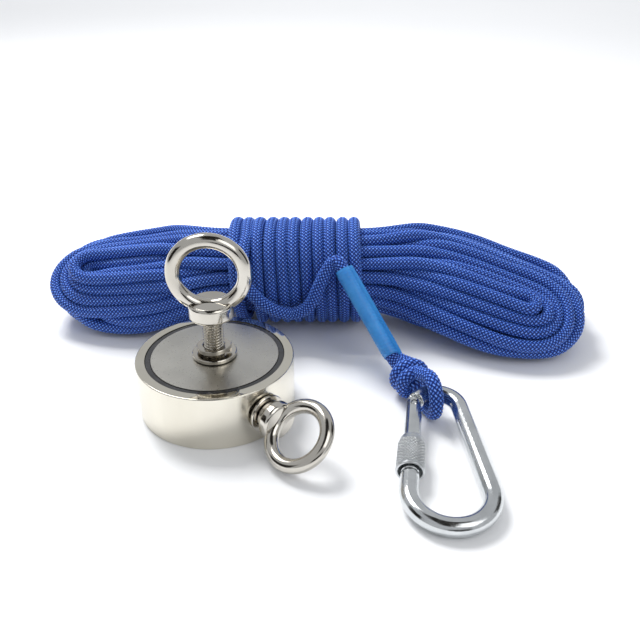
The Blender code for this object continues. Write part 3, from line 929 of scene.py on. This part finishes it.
def shrink():
    """Lighter blue heat-shrink plastic, softly glossy and a little wrinkled."""
    g = Graph("heat_shrink")
    g.fixed(Subsurface_Weight=0.08, Subsurface_Scale=0.002, Coat_Weight=0.15, Coat_Roughness=0.3)
    g.color(g.ramp(g.noise(90, 4), (0.3, (0.022, 0.20, 0.56)), (0.7, (0.045, 0.29, 0.68))))
    g.rough(g.spread(g.noise(300, 3), 0.32, 0.48))
    g.bump(g.noise(520, 3), 0.3, 0.00025)
    return g.material


def pot():
    """The pot's satin side and its ground, nearly mirror-bright rim."""
    g = Graph("pot_nickel")
    g.fixed(Metallic=1.0)
    g.color(g.ramp(g.noise(30, 4), (0.3, (0.68, 0.645, 0.555)), (0.7, (0.79, 0.755, 0.665))))
    level = g.add("ShaderNodeSeparateXYZ")
    g.link(g.add("ShaderNodeTexCoord").outputs["Normal"], level.inputs[0])
    flat = g.spread(g.math("ABSOLUTE", level.outputs["Z"]), 0.0, 1.0, 0.90, 0.97)
    marks = g.noise(700, 3, stretch=(1, 1, 0.10))
    side = g.spread(marks, 0.17, 0.27)
    rim = g.spread(marks, 0.03, 0.08)
    blend = g.add("ShaderNodeMix")
    g.link(flat, blend.inputs["Factor"])
    g.link(side, blend.inputs[2])
    g.link(rim, blend.inputs[3])
    g.rough(blend.outputs[0])
    g.bump(marks, 0.05, 0.00003)
    return g.material


FINISHES = {
    "nickel_plate": metal("nickel_plate", (0.50, 0.47, 0.415), (0.66, 0.63, 0.575), (0.09, 0.17)),
    "magnet_nickel": metal("magnet_nickel", (0.54, 0.525, 0.48), (0.66, 0.64, 0.585), (0.27, 0.31),
                           bump=0.01),
    "spring_steel": metal("spring_steel", (0.50, 0.47, 0.42), (0.66, 0.62, 0.56), (0.12, 0.24)),
    "bright_zinc": zinc("bright_zinc", (0.12, 0.24)),
    "black_resin": resin(),
    "blue_rope": braid(),
    "heat_shrink": shrink(),
}
POT_FINISH = pot()
KNURL_FINISH = zinc("zinc_knurl", (0.34, 0.46))


# ---- the pieces ----

def rope():
    """The rope in one piece, and the points that its centreline follows."""
    obj, path = braided_tube("rope", rope_line())
    dressed(obj, "rope", "blue_rope", "rope_hank", "rope_wrapping", "rope_lead", "rope_knot",
            "rope_eye")
    return obj, path


def pot_piece():
    """The steel cup: recessed faces, a boss for the top bolt, eased edges and the side bore."""
    outer, height, recess, depth = 37.5, POT_HEIGHT, 33.0, 8.2
    boss, bore, floor = 8.0, 5.2, 9.6
    side_bore, bore_start, bore_end = 4.2, 22.0, 42.5
    low, high = depth, height - depth
    rim = rounded([(recess, 0), (outer, 0), (outer, height), (recess, height)], 0.7, 6)
    profile = [(0.01, low), (recess, low), (recess, 0)] + rim[1:-1] + [
        (recess, height), (recess, high), (boss, high), (boss, height), (bore, height),
        (bore, floor), (0.01, floor)]
    steps = 144
    cup = mesh_object("steel_pot", *capped(*turned(profile, steps), len(profile), steps))
    bar = [(side_bore, 0), (side_bore, bore_end - bore_start)]
    cutter = placed("side_bore", capped(*turned(bar, 48), 2, 48), side_place(bore_start))
    applied(cup, "BOOLEAN", operation="DIFFERENCE", object=cutter, solver="EXACT")
    bpy.data.objects.remove(cutter)
    sharp_by_angle(cup, 32)
    dressed(cup, "magnet", "nickel_plate", "steel_pot")
    cup.data.materials[0] = POT_FINISH


def bolts():
    """The two eye bolts, M10 on top and M8 at the side, and the spring washer on each."""
    top, side = upright(48.3), side_place(42.9, math.radians(38.8))
    eye_bolt("top_eye_bolt", top, shank=(4.9, 1.5, 38.1), collar=(10.75, 7.9),
             ring=(16.2, 3.5, 21.4), body="top_bolt")
    eye_bolt("side_eye_bolt", side, shank=(3.9, 1.25, 20.3), collar=(9.0, 5.6),
             ring=(13.8, 3.3, 17.6), body="side_bolt")
    spring_washer("top_spring_washer", (5.3, 8.2, 2.2, 1.8), upright(29.9),
                  start_deg=20, body="top_washers")
    spring_washer("side_spring_washer", (4.3, 6.8, 1.5, 0.4), side_place(39.8),
                  start_deg=200, body="side_washers")


def carried_over():
    """The CAD nodes that stay keep their shape, and take the finish of their slot."""
    slots = {row["node"]: row["material_slot"] for row in frame["record"]["subparts"]}
    for name, obj in frame["nodes"].items():
        if obj.hide_render:
            continue
        obj.data.materials.clear()
        obj.data.materials.append(FINISHES[slots[name]])


rope_piece, rope_path = rope()
pot_piece()
bolts()
knurled_sleeve()
tube = shrunk_tube()
frame_piece = softened("carabiner_body", "carabiner", "bright_zinc", 0.32, 18)
eased("carabiner_gate", "gate", "bright_zinc", 0.35)
carried_over()
rope_length = float(arc_length(rope_path)[-1]) * MM


# ---- studio ----

def panel(name, size, place, tilt, power):
    """A square area light, its size and place in metres and its tilt about X and Y in degrees."""
    data = bpy.data.lights.new(name, "AREA")
    data.energy, data.size = power, size
    obj = bpy.data.objects.new(name, data)
    obj.location = place
    obj.rotation_euler = (math.radians(tilt[0]), math.radians(tilt[1]), 0)
    bpy.context.scene.collection.objects.link(obj)
    return obj


def dark_card(name, width, height, place):
    """A dark card that only mirror-like surfaces see, for the bands in polished steel."""
    mesh = bpy.data.meshes.new(name)
    w, h = width / 2, height / 2
    mesh.from_pydata([(-w, -h, 0), (w, -h, 0), (w, h, 0), (-w, h, 0)], [], [(0, 1, 2, 3)])
    obj = bpy.data.objects.new(name, mesh)
    obj.location = place
    obj.rotation_euler = Vector(place).to_track_quat("Z", "Y").to_euler()
    g = Graph(name)
    g.fixed(Roughness=1.0, Specular_IOR_Level=0.0)
    g.color(g.ramp(g.noise(2), (0.3, (0.010, 0.009, 0.008)), (0.7, (0.03, 0.027, 0.024))))
    mesh.materials.append(g.material)
    bpy.context.scene.collection.objects.link(obj)
    obj.visible_camera = obj.visible_diffuse = obj.visible_shadow = False


def ground():
    """The plain pale floor."""
    bpy.ops.mesh.primitive_plane_add(size=12)
    obj = bpy.context.object
    obj.name = "floor"
    g = Graph("floor")
    g.color(g.ramp(g.noise(1.5), (0.3, (0.88, 0.885, 0.895)), (0.7, (0.90, 0.905, 0.915))))
    g.fixed(Specular_IOR_Level=0.1)
    g.rough(g.spread(g.noise(40), 0.6, 0.75))
    obj.data.materials.append(g.material)


def sky():
    """An even, faintly blue light from all round."""
    world = bpy.data.worlds.new("studio")
    bpy.context.scene.world = world
    world.use_nodes = True
    light = world.node_tree.nodes["Background"]
    light.inputs["Color"].default_value = (0.95, 0.97, 1.0, 1)
    light.inputs["Strength"].default_value = 0.58


def studio():
    """Soft light from the back left, a separate panel for its highlight, and dark cards."""
    ground()
    sky()
    panel("key", 0.40, (-0.28, 0.50, 0.80), (-31, -21), 10.0).visible_glossy = False
    panel("spark", 0.45, (-0.42, 0.35, 0.85), (-24, -24), 3.0).visible_diffuse = False
    panel("fill", 0.6, (0.5, -0.5, 0.7), (35, 30), 1.6)
    panel("far", 2.4, (0.05, 2.1, 1.2), (0, 0), 16.0).visible_glossy = False
    dark_card("card_left", 0.55, 0.45, (-0.8, -0.25, 0.22))
    dark_card("card_front", 0.7, 0.35, (0.25, -0.95, 0.10))
    dark_card("card_right", 0.40, 0.5, (0.85, 0.15, 0.25))
    dark_card("card_over", 0.90, 0.60, (0.05, -0.16, 1.1))
    dark_card("card_camera", 0.60, 0.55, (0.05, -0.62, 0.88))
    bpy.context.scene.view_settings.view_transform = "Standard"


studio()
